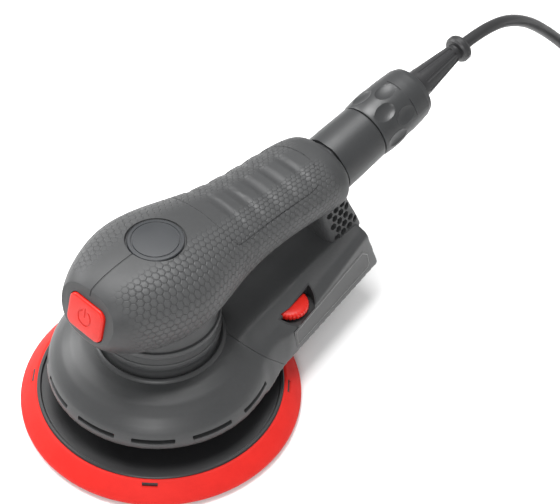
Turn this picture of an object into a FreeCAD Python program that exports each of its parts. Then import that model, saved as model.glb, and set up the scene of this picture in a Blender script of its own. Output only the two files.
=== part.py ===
import FreeCAD, Part
import math
import os

os.makedirs("parts", exist_ok=True)
V = FreeCAD.Vector

# Frame: +Z up along the motor, -Y front (power button), +Y rear (cord), origin in the
# centre of the pad's working face.  All sizes in millimetres.
ORBIT = 5.0                      # diameter of the orbit
CRANK = ORBIT / 2                # crank pin to motor axis
CRANK_TURN = 133.0               # rest direction from the pad axis to the motor axis, degrees
MX = CRANK * math.cos(math.radians(CRANK_TURN))
MY = CRANK * math.sin(math.radians(CRANK_TURN))
LIFT = -2.6                      # height of the machine's own drawing datum
MACHINE = V(MX, MY, LIFT)        # the machine is drawn about its motor axis, then moved here

PAD_R = 75.0                     # pad, 150 mm
RIM_R = 65.7                     # black backing plate rim
SHROUD_R = 59.8                  # shroud lower edge
NECK_R = 31.0                    # neck that enters the head
WALL = 2.6                       # moulded wall
SHAFT_R = 4.0
PIN_R = 6.0                      # crank pin bearing bore radius
FIT = 0.03                       # radial clearance of a running fit
CORD_R = 3.5
CORD_LENGTH = 4000.0
COIL_R = 50.0                    # mean radius of the tied coil


def put(name, shape, move=V(0, 0, 0)):
    shape = shape.copy()
    shape.translate(move)
    shape.exportStep("parts/" + name + ".step")
    solids = shape.Solids
    print("%-22s solids %d volume %9.0f valid %s" % (name, len(solids), shape.Volume, shape.isValid()))
    return shape


def cyl(r, z0, z1, x=0.0, y=0.0):
    return Part.makeCylinder(r, z1 - z0, V(x, y, z0))


def tube(r0, r1, z0, z1, x=0.0, y=0.0):
    return cyl(r1, z0, z1, x, y).cut(cyl(r0, z0 - 1, z1 + 1, x, y))


def box(x0, x1, y0, y1, z0, z1):
    return Part.makeBox(x1 - x0, y1 - y0, z1 - z0, V(x0, y0, z0))


def rod(r, a, b):
    d = b.sub(a)
    return Part.makeCylinder(r, d.Length, a, d)


def revolve(points, base=V(0, 0, 0), axis=V(0, 0, 1), turn=360):
    # points are (radius, height) pairs round the closed half section
    loop = [V(r, 0, z) for r, z in points]
    face = Part.Face(Part.makePolygon(loop + [loop[0]]))
    solid = face.revolve(V(0, 0, 0), V(0, 0, 1), turn)
    place = FreeCAD.Placement(base, FreeCAD.Rotation(V(0, 0, 1), axis))
    solid.Placement = place
    return solid


def ring_of(make, count, start=0.0):
    return [make(start + 360.0 * i / count) for i in range(count)]


def spun(shape, angle, x=0.0, y=0.0):
    out = shape.copy()
    out.rotate(V(x, y, 0), V(0, 0, 1), angle)
    return out


def fused(shapes):
    out = shapes[0]
    if len(shapes) > 1:
        out = out.multiFuse(shapes[1:])
    return out.removeSplitter()


# ---------------------------------------------------------------- machine axis at the inlet
TILT = 10.0
INLET = V(0, 124.7, 86.5)
AX = V(0, math.cos(math.radians(TILT)), math.sin(math.radians(TILT)))


def along(s):
    return INLET.add(V(AX.x * s, AX.y * s, AX.z * s))


def on_inlet(points, s=0.0):
    return revolve(points, along(s), AX)


# ---------------------------------------------------------------- head and handle
def blob(y, w, top, low, grow=0.0, power=2.5, count=28):
    # one cross section of the head or handle, a closed smooth curve in the plane y
    mid = (top + low) / 2
    w = w - grow
    half = (top - low) / 2 - grow
    pts = []
    for i in range(count):
        t = 2 * math.pi * i / count
        c = math.cos(t)
        s = math.sin(t)
        x = w * math.copysign(abs(c) ** (2 / power), c)
        z = half * math.copysign(abs(s) ** (2 / power), s)
        pts.append(V(x, y, mid + z))
    curve = Part.BSplineCurve()
    curve.interpolate(Points=pts, PeriodicFlag=True)
    return Part.Wire(curve.toShape())


# y, half width, top, bottom
BODY = [
    (-51.0, 14.0, 107.5, 85.5),
    (-46.5, 19.5, 113.0, 80.5),
    (-39.0, 25.0, 117.4, 74.5),
    (-29.0, 30.5, 119.8, 71.0),
    (-14.0, 36.2, 121.0, 70.0),
    (0.0, 37.4, 120.6, 70.0),
    (15.0, 34.8, 119.2, 71.2),
    (30.0, 30.2, 116.6, 73.2),
    (50.0, 26.0, 111.8, 76.6),
    (75.0, 25.0, 108.9, 77.6),
    (98.0, 25.0, 108.2, 75.0),
    (113.0, 24.0, 107.2, 71.5),
    (123.0, 20.0, 103.0, 70.5),
]
INNER = [(-43.0, 22.4, 115.2, 78.0)] + BODY[2:-1] + [(119.5, 21.5, 104.5, 71.0)]

outer = Part.makeLoft([blob(*s) for s in BODY], True, False)
inner = Part.makeLoft([blob(s[0], s[1], s[2], s[3], WALL) for s in INNER], True, False)


def rounded_box(z, y0, y1, w, r):
    # level section of the rear strut with rounded corners
    k = r * (1 - math.sqrt(0.5))
    p = [(-w + r, y0), (w - r, y0), (w, y0 + r), (w, y1 - r), (w - r, y1), (-w + r, y1), (-w, y1 - r), (-w, y0 + r)]
    m = [(w - k, y0 + k), (w - k, y1 - k), (-w + k, y1 - k), (-w + k, y0 + k)]
    q = [V(a, b, z) for a, b in p]
    n = [V(a, b, z) for a, b in m]
    edges = [
        Part.LineSegment(q[0], q[1]), Part.Arc(q[1], n[0], q[2]),
        Part.LineSegment(q[2], q[3]), Part.Arc(q[3], n[1], q[4]),
        Part.LineSegment(q[4], q[5]), Part.Arc(q[5], n[2], q[6]),
        Part.LineSegment(q[6], q[7]), Part.Arc(q[7], n[3], q[0]),
    ]
    return Part.Wire([e.toShape() for e in edges])


# z, front y, rear y, half width
STRUT = [
    (92.0, 97.0, 119.5, 19.5),
    (82.0, 99.5, 121.0, 19.2),
    (70.0, 102.0, 125.5, 21.2),
    (60.0, 104.5, 129.5, 22.9),
    (50.0, 107.0, 133.0, 24.4),
]
strut = Part.makeLoft([rounded_box(z, a, b, w, 5.0) for z, a, b, w in STRUT], True, True)

# ---------------------------------------------------------------- dust duct outer form
SIDE_X = 48.05                   # half width of the bottom edge at y = 50
SIDE_Y = 0.177                   # side face closes in towards the rear
SIDE_Z = 0.14                    # and towards the top


def side_x(y, z):
    return SIDE_X - SIDE_Y * (y - 50) - SIDE_Z * (z - 27)


# y, bottom half width, crease (x, z), shoulder (x, z), ridge (x, z), roof height
DUCT = [
    (12.0, 56.0, (50.6, 38.6), (45.0, 43.6), (33.0, 47.6), 48.6),
    (25.0, 55.9, (49.0, 41.0), (44.0, 44.6), (33.0, 48.9), 49.9),
    (32.0, 53.6, (45.6, 41.8), (41.4, 45.0), (31.0, 49.9), 51.1),
    (40.0, 50.4, (43.6, 43.0), (40.2, 46.0), (30.0, 50.7), 51.8),
    (47.0, 48.6, (43.2, 43.4), (39.8, 46.6), (29.2, 51.2), 52.3),
    (54.0, side_x(54, 27), (side_x(54, 43.5), 43.5), (39.2, 47.1), (28.4, 51.7), 52.9),
    (65.0, side_x(65, 27), (side_x(65, 44.2), 44.2), (37.6, 47.9), (27.2, 52.5), 53.8),
    (90.0, side_x(90, 27), (side_x(90, 47.8), 47.8), (33.6, 51.4), (24.6, 54.9), 55.8),
    (115.0, side_x(115, 27), (side_x(115, 51.8), 51.8), (29.8, 55.0), (23.0, 57.4), 58.2),
    (142.0, side_x(142, 27), (side_x(142, 55.6), 55.6), (25.4, 58.4), (21.4, 60.0), 60.9),
]


def duct_wire(y, low_x, crease, shoulder, ridge, top, g=0.0):
    right = [V(low_x - g, y, 27.0 + g), V(crease[0] - g, y, crease[1] - g * 0.4), V(shoulder[0] - g * 0.75, y, shoulder[1] - g * 0.7),
             V(ridge[0] - g * 0.4, y, ridge[1] - g), V(ridge[0] * 0.45, y, top - g)]
    left = [V(-p.x, p.y, p.z) for p in reversed(right)]
    loop = right + left
    return Part.makePolygon(loop + [loop[0]])


duct_full = Part.makeLoft([duct_wire(*s) for s in DUCT], True, True)
duct_in = Part.makeLoft([duct_wire(*s, g=WALL) for s in DUCT], True, True)
# the rear end leans forwards towards the top, in line with the strut
LEAN = math.tan(math.radians(17.0))
REAR_Y = 135.5


def rear_block(back):
    a = [V(-80, REAR_Y - back - LEAN * (z - 27), z) for z in (0, 120)]
    pts = [a[0], V(-80, 200, 0), V(-80, 200, 120), a[1]]
    return Part.Face(Part.makePolygon(pts + [pts[0]])).extrude(V(160, 0, 0))


duct_out = duct_full.cut(rear_block(0.0))
duct_in = duct_in.cut(rear_block(WALL))

# ---------------------------------------------------------------- shroud bell and neck
BELL = [
    (SHROUD_R, 29.9), (59.2, 33.0), (57.6, 37.0), (55.4, 40.0), (51.5, 43.6), (46.0, 46.9), (40.0, 49.2),
    (34.2, 50.2), (33.2, 51.6), (32.4, 52.0), (31.9, 51.2), (31.3, 52.4), (31.3, 57.0), (32.3, 57.6),
    (32.3, 61.0), (31.7, 61.6), (31.7, 65.0), (32.3, 65.6), (32.3, 69.0), (NECK_R, 69.6), (NECK_R, 84.0),
    (28.6, 84.0), (28.6, 50.4), (33.0, 47.4), (39.4, 46.4), (45.0, 44.2), (50.0, 41.2), (53.4, 38.0),
    (55.3, 34.8), (56.6, 31.5), (56.8, 29.9),
]
bell = revolve(BELL)
# the bell's hollow, used to clear the duct where it joins
hollow = revolve([(0, 27), (56.8, 27), (56.8, 29.9), (56.6, 31.5), (55.3, 34.8), (53.4, 38.0), (50.0, 41.2),
                  (45.0, 44.2), (39.4, 46.4), (33.0, 47.4), (28.6, 50.4), (28.6, 60), (0, 60)])

# bell and duct meet in one plane that slopes back towards the bottom: SEAM_SLOPE * y + z = SEAM
SEAM_SLOPE = 1.1
SEAM = 77.2
behind = Part.Face(Part.makePolygon([V(-150, (SEAM - z) / SEAM_SLOPE, z) for z in (20, 75)] + [V(-150, 300, 75), V(-150, 300, 20),
                   V(-150, (SEAM - 20) / SEAM_SLOPE, 20)])).extrude(V(300, 0, 0))
neck_core = cyl(33.4, 49.9, 90)

SLOT_STEP = 30.7
SLOT_FIRST = -169.6


def slot(angle):
    half = 11.2
    bar = box(46, 66, -half, half, 32.0, 34.5)
    return spun(bar, angle)


slots = [slot(SLOT_FIRST + SLOT_STEP * i) for i in range(7)]
body = bell.fuse(duct_out.cut(hollow).cut(neck_core)).cut(duct_in.cut(cyl(59, 0, 100)).cut(box(-80, 80, 0, 42, 0, 100)))
shroud_front = body.cut(behind.cut(neck_core)).cut(Part.makeCompound(slots))
shroud_front = max(shroud_front.Solids, key=lambda q: q.Volume)
EAR_R = 31.0                     # three screws hold the motor frame under the bell's shoulder
EAR_TURNS = [-90.0, 30.0, 150.0]


def ear_xy(angle):
    return EAR_R * math.cos(math.radians(angle)), EAR_R * math.sin(math.radians(angle))


ear_holes = [cyl(1.5, 40, 50.6, *ear_xy(a)) for a in EAR_TURNS]
shroud = put("motor_shroud", shroud_front.cut(Part.makeCompound(ear_holes)), MACHINE)

# lower edge ring, split from the bell just above the rim
edge = revolve([(SHROUD_R, 27.5), (SHROUD_R + 0.0, 29.8), (56.8, 29.8), (56.8, 27.5)])
edge = edge.cut(spun(box(56, 61, -0.4, 0.4, 27, 30), -68.0))
edge = edge.cut(duct_full).cut(box(-80, 80, 12, 80, 20, 40))
put("shroud_edge_ring", edge, MACHINE)

# ---------------------------------------------------------------- duct with hose socket
HOSE_R = 13.5                    # bore for a 27 mm hose end
HOSE_Z = 43.2
DUCT_BOTTOM = 27.0
duct = body.common(behind.cut(neck_core).common(box(-80, 80, 0, 150, 20, 62)))
duct = duct.cut(duct_in.cut(hollow))
SOCKET_BACK = 104.0
socket_out = Part.makeCylinder(HOSE_R + 2.4, 60, V(0, SOCKET_BACK, HOSE_Z), V(0, 1, 0))
duct = duct.fuse(socket_out.cut(rear_block(0.0)))
duct = duct.cut(Part.makeCylinder(HOSE_R, 60, V(0, SOCKET_BACK, HOSE_Z), V(0, 1, 0)))
duct = duct.cut(Part.makeCylinder(HOSE_R - 2.0, 60, V(0, SOCKET_BACK - 6, HOSE_Z), V(0, 1, 0)))   # the hose stops at a shoulder

# side frame: a point on the duct's side face, t outwards
NX = V(1, SIDE_Y, SIDE_Z)
NX.normalize()


def on_side(y, z, t=0.0):
    return V(side_x(y, z), y, z).add(V(NX.x * t, NX.y * t, NX.z * t))


def side_plate(corners, t0, t1):
    pts = [on_side(y, z, t0) for y, z in corners]
    face = Part.Face(Part.makePolygon(pts + [pts[0]]))
    return face.extrude(V(NX.x * (t1 - t0), NX.y * (t1 - t0), NX.z * (t1 - t0)))


PLATE = [(55.6, 30.8), (125.5, 30.8), (127.6, 34.0), (126.4, 42.0), (121.0, 46.8), (89.6, 44.8), (71.0, 43.7), (54.6, 42.6)]
duct = duct.cut(side_plate(PLATE, -0.8, 5.0))

# speed dial: a thumbwheel with an upright axle, standing out of the sloping shoulder
DIAL_X, DIAL_Y = 31.0, 65.0
DIAL_R = 10.5
DIAL_LOW, DIAL_HIGH = 44.2, 48.3
RECESS_R = 14.6
RECESS_FLOOR = 43.0
DIAL_PIN = 1.6


def dial_cyl(r, z0, z1):
    return cyl(r, z0, z1, DIAL_X, DIAL_Y)


def outboard(x, size=60.0):
    # everything further out than a plane parallel to the side face
    pts = [V(x - SIDE_Y * (y - DIAL_Y), y, 20) for y in (0, 130)]
    loop = pts + [V(pts[1].x + size, 130, 20), V(pts[0].x + size, 0, 20)]
    return Part.Face(Part.makePolygon(loop + [loop[0]])).extrude(V(0, 0, 60))


wheel_room = dial_cyl(DIAL_R + 0.8, RECESS_FLOOR, DIAL_HIGH + 0.7)
boss = dial_cyl(DIAL_R + 3.2, 40.4, 60.0).common(duct_out)
duct = duct.fuse(boss.cut(side_plate(PLATE, -0.8, 5.0))).cut(wheel_room)
recess = dial_cyl(RECESS_R, RECESS_FLOOR - 1.0, 60.0).common(outboard(33.4))
duct = duct.cut(recess).cut(dial_cyl(2.2, 38, 45))
duct = max(duct.Solids, key=lambda q: q.Volume)
put("dust_duct", duct.cut(Part.makeCompound(ear_holes)), MACHINE)

put("name_plate", side_plate(PLATE, -0.8, 0.1), MACHINE)

bezel = recess.common(duct_out).cut(dial_cyl(RECESS_R - 0.9, RECESS_FLOOR, 60.0).common(outboard(34.3)))
bezel = bezel.cut(wheel_room).cut(side_plate(PLATE, -0.8, 5.0)).cut(dial_cyl(2.2, 38, 45))
put("dial_bezel", max(bezel.Solids, key=lambda q: q.Volume), MACHINE)

wheel = dial_cyl(DIAL_R, DIAL_LOW, DIAL_HIGH)
for i in range(30):
    a = 2 * math.pi * i / 30
    wheel = wheel.cut(cyl(0.45, 40, 50, DIAL_X + DIAL_R * math.cos(a), DIAL_Y + DIAL_R * math.sin(a)))
put("speed_dial", wheel.cut(dial_cyl(DIAL_PIN, 40, 50)), MACHINE)
pot = dial_cyl(6.5, 35.0, 40.4).fuse(dial_cyl(DIAL_PIN - FIT, 40.0, DIAL_HIGH - 0.4))
put("dial_potentiometer", pot.removeSplitter(), MACHINE)

# ---------------------------------------------------------------- head halves
strut_core = Part.makeLoft([rounded_box(z, a + WALL, b - WALL, w - WALL, 3.0) for z, a, b, w in STRUT[:-1]], True, True)
form = outer.fuse(strut.cut(duct_full).cut(socket_out))     # the strut stands on the duct's roof
shell = form.cut(inner).cut(strut_core.common(box(-60, 60, 60, 150, 62.0, 95)))

BUTTON_C = V(0, -47.8, 99.5)
LEAN_B = math.radians(14.2)
BN = V(0, -math.cos(LEAN_B), math.sin(LEAN_B))      # out of the button's face
BU = V(0, math.sin(LEAN_B), math.cos(LEAN_B))       # up the button's face


def button_block(w, h, r, t0, t1):
    # rounded block on the button's face, t counted outwards from the face
    k = r * (1 - math.sqrt(0.5))
    a = w / 2
    b = h / 2
    p = [(-a + r, -b), (a - r, -b), (a, -b + r), (a, b - r), (a - r, b), (-a + r, b), (-a, b - r), (-a, -b + r)]
    m = [(a - k, -b + k), (a - k, b - k), (-a + k, b - k), (-a + k, -b + k)]

    def at(q):
        return V(q[0], BUTTON_C.y + BU.y * q[1] + BN.y * t0, BUTTON_C.z + BU.z * q[1] + BN.z * t0)

    q = [at(v) for v in p]
    n = [at(v) for v in m]
    e = [
        Part.LineSegment(q[0], q[1]), Part.Arc(q[1], n[0], q[2]),
        Part.LineSegment(q[2], q[3]), Part.Arc(q[3], n[1], q[4]),
        Part.LineSegment(q[4], q[5]), Part.Arc(q[5], n[2], q[6]),
        Part.LineSegment(q[6], q[7]), Part.Arc(q[7], n[3], q[0]),
    ]
    d = t1 - t0
    return Part.Face(Part.Wire([x.toShape() for x in e])).extrude(V(BN.x * d, BN.y * d, BN.z * d))


BUTTON_W = 24.4
BUTTON_H = 19.0
BUTTON_TRAVEL = 1.5
shell = shell.cut(button_block(80, 80, 5, -1.0, 20))             # flat front behind the button's face
shell = shell.cut(button_block(BUTTON_W + 0.7, BUTTON_H + 0.7, 4.6, -12, 5))
shell = shell.cut(button_block(BUTTON_W + 3.6, BUTTON_H + 3.6, 5.0, -12, -3.4))
shell = shell.cut(cyl(NECK_R + 0.02, 60, 84.0))

BADGE_R = 14.4
BADGE_Z = 118.6
shell = shell.cut(cyl(BADGE_R + 0.05, BADGE_Z - 1.6, 130))
shell = shell.fuse(cyl(BADGE_R + 2.0, BADGE_Z - 3.2, BADGE_Z - 1.6).common(outer))
shell = shell.cut(cyl(2.5, BADGE_Z - 4, BADGE_Z))

INLET_R = 15.2
shell = shell.cut(on_inlet([(0, -14), (INLET_R, -14), (INLET_R, 12), (0, 12)]))

# hexagonal vents through both cheeks of the strut
VENT_C = (113.2, 68.0)
VENT_STEP = 5.0
VENT_AF = 3.7
VENT_SLANT = math.radians(13.0)
VENT_ROWS = [(2, -2, -1), (1, -2, 2), (0, -2, 2), (-1, 0, 2), (-2, 2, 2)]      # row, first hole, last hole
vents = []
for row, first, last in VENT_ROWS:
    for i in range(first, last + 1):
        y = VENT_C[0] + VENT_STEP * (row * math.cos(VENT_SLANT) + i * math.cos(VENT_SLANT - math.pi / 3))
        z = VENT_C[1] + VENT_STEP * (row * math.sin(VENT_SLANT) + i * math.sin(VENT_SLANT - math.pi / 3))
        ring = []
        for k in range(6):
            a = math.radians(60 * k + 30) + VENT_SLANT
            ring.append(V(-40, y + VENT_AF / math.sqrt(3) * math.cos(a), z + VENT_AF / math.sqrt(3) * math.sin(a)))
        vents.append(Part.Face(Part.makePolygon(ring + [ring[0]])).extrude(V(80, 0, 0)))
core = box(-14, 14, 90, 140, 50, 90)
shell = shell.cut(Part.makeCompound(vents).cut(core))

# screw bosses along the parting plane
BOSSES = [(42.0, 82.5), (66.0, 84.0), (90.0, 83.0), (112.0, 98.0)]
for y, z in BOSSES:
    post = Part.makeCylinder(3.4, 100, V(-50, y, z), V(1, 0, 0))
    shell = shell.fuse(post.common(form))
screws = []
for y, z in BOSSES:
    head = Part.makeCylinder(2.9, 3.0, V(-16.0, y, z), V(1, 0, 0))
    shank = Part.makeCylinder(1.5, 25.0, V(-13.0, y, z), V(1, 0, 0))
    shell = shell.cut(Part.makeCylinder(2.9, 50, V(-63.0, y, z), V(1, 0, 0)))
    shell = shell.cut(shank)
    drive = Part.makeCylinder(1.2, 1.6, V(-16.0, y, z), V(1, 0, 0))
    screws.append(head.fuse(shank).cut(drive))
left = shell.common(box(0, 60, -80, 160, 40, 130))
right = shell.common(box(-60, 0, -80, 160, 40, 130))
put("upper_housing_left", left, MACHINE)
put("upper_housing_right", right, MACHINE)
put("housing_screws", Part.makeCompound(screws), MACHINE)

badge = cyl(BADGE_R, BADGE_Z - 1.6, BADGE_Z + 0.7).cut(tube(11.6, 12.6, BADGE_Z + 0.1, BADGE_Z + 2))
badge = badge.fuse(cyl(2.5, BADGE_Z - 3.2, BADGE_Z - 1.6))
put("badge_cap", badge, MACHINE)

# ---------------------------------------------------------------- power button and switch
button = button_block(BUTTON_W, BUTTON_H, 4.3, -4.0, 0.4)
button = button.fuse(button_block(BUTTON_W + 2.4, BUTTON_H + 2.4, 4.6, -5.2, -4.0))
mark = Part.makeCylinder(4.6, 3, BUTTON_C.add(V(0, BN.y * 0.1, BN.z * 0.1)), BN)
mark = mark.cut(Part.makeCylinder(3.7, 5, BUTTON_C.sub(V(0, BN.y, BN.z)), BN))
gate = box(-1.6, 1.6, -60, -40, BUTTON_C.z, BUTTON_C.z + 12)
bar = button_block(0.9, 4.4, 0.3, 0.1, 3)
bar.translate(V(0, BU.y * 3.0, BU.z * 3.0))
button = button.cut(mark.cut(gate)).cut(bar)
put("power_button", button, MACHINE)
put("switch_module", box(-8, 8, -38.9, -31.0, 90.0, 103.0), MACHINE)

# ---------------------------------------------------------------- motor
STATOR_R = 27.0
STATOR_IN = 15.4
STACK = (60.0, 88.0)
TEETH = 9
BEAR_LOW = (44.0, 51.0)
BEAR_UP = (99.0, 105.0)

yoke = tube(22.6, STATOR_R, *STACK)
teeth = ring_of(lambda a: spun(box(STATOR_IN + 1.4, 23.0, -2.1, 2.1, *STACK), a), TEETH)
shoes = tube(STATOR_IN, STATOR_IN + 1.6, *STACK)
shoes = shoes.cut(Part.makeCompound(ring_of(lambda a: spun(box(14, 19, -0.9, 0.9, 50, 99), a + 20.0), TEETH)))
put("stator_core", fused([yoke, shoes] + teeth), MACHINE)


def coil(a):
    block = box(17.8, 22.2, -3.6, 3.6, STACK[0] - 3.4, STACK[1] + 3.4)
    return spun(block.cut(box(10, 30, -2.1, 2.1, STACK[0], STACK[1])), a)


put("stator_windings", Part.makeCompound(ring_of(coil, TEETH)), MACHINE)
insulator = tube(22.6, 26.6, STACK[0] - 4.0, STACK[0]).fuse(tube(22.6, 26.6, STACK[1], STACK[1] + 4.0))
put("stator_insulators", insulator, MACHINE)

ears = [cyl(3.4, 44.5, 49.5, *ear_xy(a)) for a in EAR_TURNS]
frame = tube(STATOR_R, 28.5, 51.0, 97.0).fuse(cyl(28.5, 47.0, 51.0)).fuse(cyl(14.0, BEAR_LOW[0], 47.0))
frame = frame.cut(cyl(11.0, 40, 52))
arms = [spun(box(12, 31, -3.4, 3.4, 44.5, 47.0), a) for a in EAR_TURNS]
frame = frame.multiFuse([e.cut(bell) for e in ears] + arms)
windows = ring_of(lambda a: spun(cyl(4.0, 40, 52, 20.0, 0.0), a), 6, 0.0)
frame = frame.cut(Part.makeCompound(windows)).cut(Part.makeCompound(ear_holes)).cut(cyl(11.0, 40, 52))
put("motor_frame", frame, MACHINE)
motor_screws = []
for a in EAR_TURNS:
    x, y = ear_xy(a)
    motor_screws.append(cyl(2.7, 42.4, 44.5, x, y).fuse(cyl(1.5, 44.5, 50.4, x, y)).cut(cyl(1.1, 42.4, 43.6, x, y)))
put("motor_screws", Part.makeCompound(motor_screws), MACHINE)
end_plate = cyl(28.5, 97.0, 99.0).fuse(cyl(12.5, 97.0, BEAR_UP[1])).cut(cyl(9.5, BEAR_UP[0], 110))
end_plate = end_plate.cut(cyl(6.5, 90, 110))
end_plate = end_plate.cut(Part.makeCompound(ring_of(lambda a: spun(cyl(3.6, 90, 102, 20, 0), a), 8)))
put("motor_end_plate", end_plate, MACHINE)


def bearing(r0, r1, z0, z1, x=0.0, y=0.0):
    # shielded ball bearing: rings with shallow shield grooves
    b = tube(r0, r1, z0, z1, x, y)
    g0 = r0 + (r1 - r0) * 0.28
    g1 = r1 - (r1 - r0) * 0.24
    return b.cut(tube(g0, g1, z0 - 1, z0 + 0.5, x, y)).cut(tube(g0, g1, z1 - 0.5, z1 + 1, x, y))


put("lower_bearing", bearing(SHAFT_R + FIT, 11.0, *BEAR_LOW), MACHINE)
put("upper_bearing", bearing(SHAFT_R + FIT, 9.5, *BEAR_UP), MACHINE)

# ---------------------------------------------------------------- electronics
put("control_board", box(-16, 16, 36, 100, 94.6, 96.2), MACHINE)
sink = box(-12, 12, 40, 70, 96.2, 98.4).fuse(box(-12, -10.6, 40, 70, 98.4, 103.2))
for i in range(1, 8):
    sink = sink.fuse(box(-12 + i * 3.23, -10.6 + i * 3.23, 40, 70, 98.4, 103.2))
put("heat_sink", sink, MACHINE)
cap = Part.makeCylinder(4.2, 24, V(0, 74, 100.4), V(0, 1, 0))
cap = cap.cut(Part.makeTorus(4.4, 0.5, V(0, 78, 100.4), V(0, 1, 0)))
put("capacitor", cap, MACHINE)

# ---------------------------------------------------------------- brake seal
seal = tube(46.4, 48.4, 17.2, 44.0).cut(bell).cut(cyl(60, 43.3, 60))
seal = seal.cut(box(-20, 20, 30, 60, 29, 50)).cut(duct_out.cut(hollow))     # window towards the duct
seal = max(seal.Solids, key=lambda q: q.Volume)
put("brake_seal", seal, MACHINE)

# ---------------------------------------------------------------- rotor
ROTOR_R = 13.0
MAGNET_R = 14.7
put("rotor_core", tube(SHAFT_R, ROTOR_R, STACK[0] + 0.5, STACK[1] - 0.5), MACHINE)
magnet = tube(ROTOR_R, MAGNET_R, STACK[0] + 0.5, STACK[1] - 0.5)
gaps = Part.makeCompound(ring_of(lambda a: spun(box(12, 16, -0.5, 0.5, 50, 99), a), 8))
put("rotor_magnets", magnet.cut(gaps), MACHINE)
shaft = cyl(SHAFT_R, 36.0, 107.0).cut(tube(SHAFT_R - 0.5, SHAFT_R + 1, 105.6, 106.6))
put("motor_shaft", shaft, MACHINE)
clip = tube(SHAFT_R - 0.5, 6.0, 105.6, 106.6).cut(box(0, 8, -2.0, 2.0, 100, 110))
put("shaft_circlip", clip, MACHINE)

PX = -MX                          # pad axis seen from the motor axis
PY = -MY
POCKET = (19.0, 35.0)
fan = tube(10.0, 43.0, 38.4, 40.6).fuse(cyl(20.0, 19.0, 40.6)).fuse(cyl(9.0, 40.6, 43.4))


def blade(a):
    b = box(19.0, 42.5, -0.8, 0.8, 30.0, 38.6)
    b.rotate(V(19.0, 0, 0), V(0, 0, 1), -22.0)
    return spun(b, a)


fan = fan.multiFuse(ring_of(blade, 15))
fan = fan.cut(cyl(14.0, POCKET[0] - 1, POCKET[1], PX, PY)).cut(cyl(SHAFT_R, 30, 50))
fan = fan.cut(cyl(80, 0, 18.9))
fan = fan.common(cyl(43.0, 0, 60))
weight = tube(20.0, 37.0, 20.0, 29.6)
wedge = Part.Face(Part.makePolygon([V(0, 0, 10)] + [V(90 * math.cos(math.radians(CRANK_TURN + a)),
                  90 * math.sin(math.radians(CRANK_TURN + a)), 10) for a in (-58, -29, 0, 29, 58)] + [V(0, 0, 10)]))
weight = weight.common(wedge.extrude(V(0, 0, 40)))
put("eccentric_fan", fan, MACHINE)
put("counterweight", weight.cut(fan), MACHINE)
crank_bearings = [bearing(PIN_R + FIT, 14.0, POCKET[0], 27.0, PX, PY), bearing(PIN_R + FIT, 14.0, 27.0, POCKET[1], PX, PY)]
put("crank_bearings", Part.makeCompound(crank_bearings), MACHINE)

# ---------------------------------------------------------------- pad, drawn about its own axis
FACE_T = 1.2
PLATE_Z = 9.0
HOLES = 8
HOLE_R = 5.0
HOLE_CIRCLE = 40.0
dust_holes = Part.makeCompound(ring_of(lambda a: spun(cyl(HOLE_R, -1, 20, HOLE_CIRCLE, 0), a + 22.5), HOLES))
TABS = [-48.0, 42.0, 132.0, -138.0]
tabs = [spun(box(64.0, 68.4, -4.0, 4.0, 10.2, 11.9), a) for a in TABS]
plate = revolve([(0, PLATE_Z), (RIM_R, PLATE_Z), (RIM_R, 12.9), (RIM_R - 0.5, 13.4), (RIM_R - 1.7, 13.4),
                 (RIM_R - 2.4, 12.3), (22, 11.8), (20, 13.0), (0, 13.0)])
plate = plate.multiFuse(tabs).cut(dust_holes)
stud_hole = cyl(9.0, PLATE_Z - 1, 11.0).fuse(cyl(4.0, 5, 20))
put("pad_plate", plate.cut(stud_hole), V(0, 0, 0))
foam = revolve([(0, FACE_T), (73.4, FACE_T), (74.6, 2.2), (PAD_R, 3.2), (PAD_R, 4.6), (67.0, 12.5), (RIM_R, 12.5),
                (RIM_R, PLATE_Z), (0, PLATE_Z)])
foam = foam.cut(Part.makeCompound([spun(box(64.0, 70.0, -4.0, 4.0, 10.2, 11.9), a) for a in TABS])).cut(dust_holes)
put("pad_foam", foam)
put("hook_face", cyl(73.4, 0, FACE_T).cut(dust_holes))
stud = cyl(9.0, PLATE_Z, 11.0).fuse(cyl(4.0, 11.0, 27.0))
put("pad_stud", stud)
spindle = cyl(16.0, 13.0, 15.6).fuse(cyl(8.0, 15.6, 16.4)).fuse(cyl(PIN_R, 16.4, 32.0)).cut(cyl(4.0, 12, 27.0))
put("pad_spindle", spindle)

# ---------------------------------------------------------------- twist-lock mains connector
SEAT = 30.0                       # socket face, along the inlet axis
socket_cup = on_inlet([(0, -14), (INLET_R, -14), (INLET_R, 0.4), (17.0, 0.4), (16.9, 10), (16.4, SEAT - 0.6),
                       (16.0, SEAT), (13.0, SEAT), (13.0, 6), (0, 6)])
socket_cup = socket_cup.cut(Part.makeCylinder(60, 30, V(0, 70, 86.5), V(0, 1, 0)))
pins = []
for sx in (-4.6, 4.6):
    a = along(2.0).add(V(sx, 0, 0))
    b = along(24.0).add(V(sx, 0, 0))
    pins.append(rod(1.6, a, b))
pins_all = Part.makeCompound(pins)
socket_cup = socket_cup.cut(left).cut(right).cut(Part.makeCompound(screws))
socket_cup = max(socket_cup.cut(pins_all).Solids, key=lambda q: q.Volume)
put("inlet_socket", socket_cup, MACHINE)
put("inlet_contacts", pins_all, MACHINE)
insert = on_inlet([(0, 8), (12.6, 8), (12.6, 66), (0, 66)]).cut(pins_all)
put("plug_insert", insert, MACHINE)

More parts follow.
